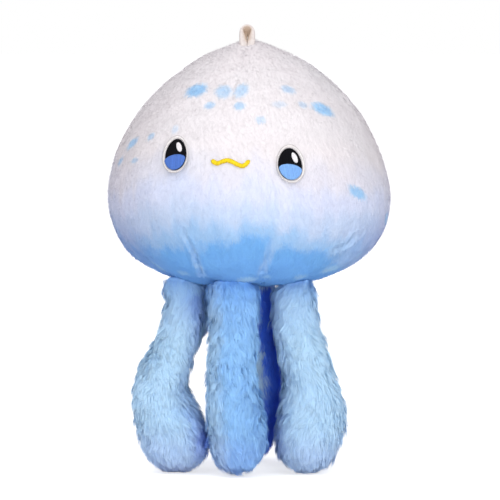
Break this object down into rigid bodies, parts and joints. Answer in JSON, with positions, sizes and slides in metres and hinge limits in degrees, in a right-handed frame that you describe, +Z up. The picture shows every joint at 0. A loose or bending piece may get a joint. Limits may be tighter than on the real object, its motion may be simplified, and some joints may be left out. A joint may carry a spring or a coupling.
{
  "type": "plush jellyfish",
  "caption": "Plush jellyfish: a round stuffed bell with an embroidered face and a hang loop, standing on shaggy stuffed tentacles.",
  "frame": {"origin": "middle of the overall box at the level of the feet", "axes": "+Z up through the hang loop, -Y towards the viewer, with the face turned a little to -X"},
  "size_m": [0.2236, 0.2236, 0.3504],
  "materials": {
    "bell_plush": "short soft plush, white above and blue below with light-blue spots",
    "tentacle_fur": "long shaggy light-blue pile",
    "loop_tape": "cream cotton tape, folded double",
    "thread_white": "off-white satin stitch",
    "thread_black": "black satin stitch",
    "thread_blue": "blue satin stitch",
    "thread_yellow": "yellow satin stitch"
  },
  "bodies": {
    "root": {"bell": "bell_plush", "tentacle_front_left": "tentacle_fur", "tentacle_front_middle": "tentacle_fur", "tentacle_front_right": "tentacle_fur", "tentacle_back_left": "tentacle_fur", "tentacle_back_middle": "tentacle_fur", "tentacle_back_right": "tentacle_fur", "hang_loop": "loop_tape", "eye_left_rim": "thread_white", "eye_left_pupil": "thread_black", "eye_left_iris": "thread_blue", "eye_left_glint": "thread_white", "eye_right_rim": "thread_white", "eye_right_pupil": "thread_black", "eye_right_iris": "thread_blue", "eye_right_glint": "thread_white", "mouth": "thread_yellow"}
  },
  "joints": []
}
